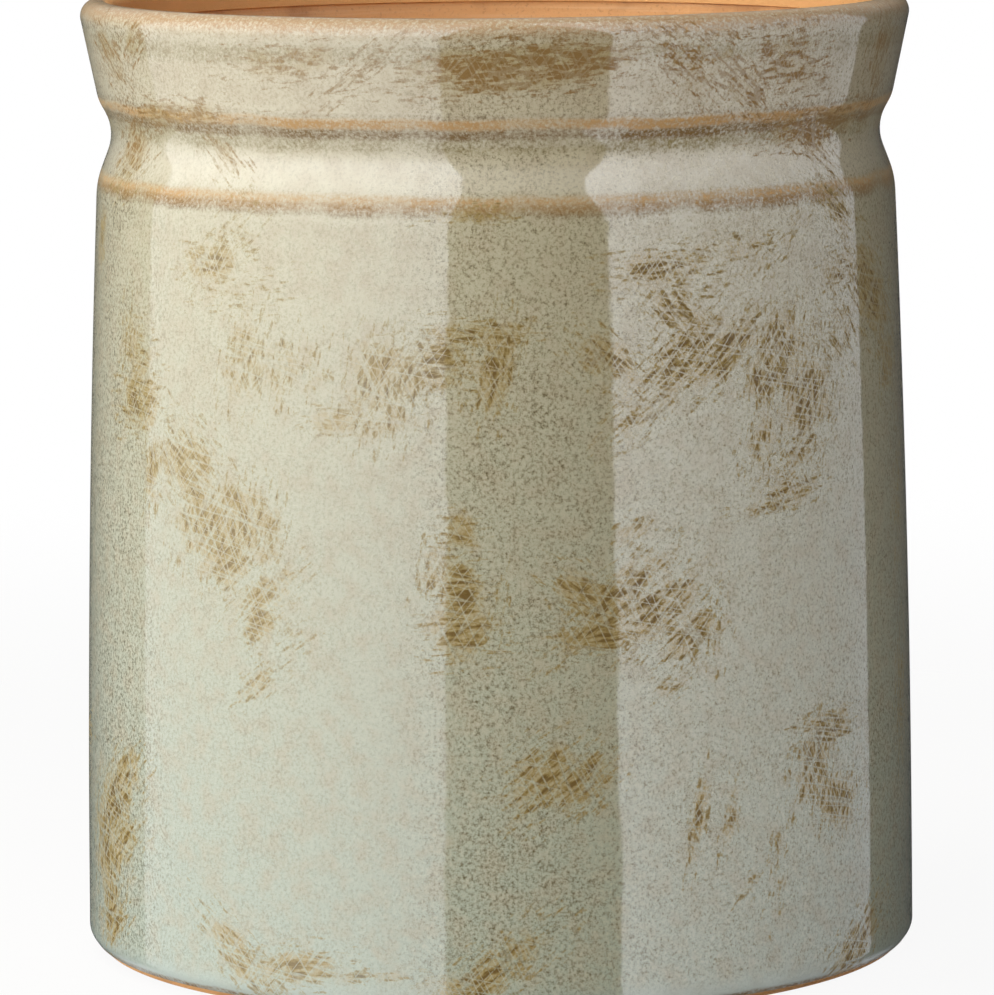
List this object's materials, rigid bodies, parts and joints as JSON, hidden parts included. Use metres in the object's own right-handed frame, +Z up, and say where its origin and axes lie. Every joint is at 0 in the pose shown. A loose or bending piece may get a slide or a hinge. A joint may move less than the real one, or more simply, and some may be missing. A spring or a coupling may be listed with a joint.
{
  "type": "flower pot",
  "caption": "Round glazed clay flower pot for the floor, with a flared collar, hollow neck and gently swelling side, a removable drain plug, a loose drain screen and rubber foot pads.",
  "frame": {"origin": "on the ground under the middle of the pot, at the underside of the foot pads", "axes": "+Z up along the pot's axis; the pot is round, so X and Y only place the foot pads and the plug's grip bar, which lies along X"},
  "size_m": [0.3035, 0.3036, 0.3476],
  "materials": {
    "clay": "bare fired clay with throwing rings",
    "glaze": "glossy speckled grey-green glaze with brown brush marks and worn edges",
    "plug_rubber": "matte moulded rubber",
    "screen_plastic": "satin moulded plastic",
    "pad_rubber": "matte rubber"
  },
  "bodies": {
    "pot": {"clay_body": "clay", "glaze_coat": "glaze", "foot_pad_1": "pad_rubber", "foot_pad_2": "pad_rubber", "foot_pad_3": "pad_rubber", "foot_pad_4": "pad_rubber"},
    "plug": {"drain_plug": "plug_rubber"},
    "screen": {"drain_screen": "screen_plastic"}
  },
  "joints": [
    {"name": "plug_pull", "type": "slide", "parent": "pot", "child": "plug", "axis": [0, 0, -1], "range_m": [0, 0.05]},
    {"name": "screen_lift", "type": "slide", "parent": "pot", "child": "screen", "axis": [0, 0, 1], "range_m": [0, 0.36]}
  ]
}
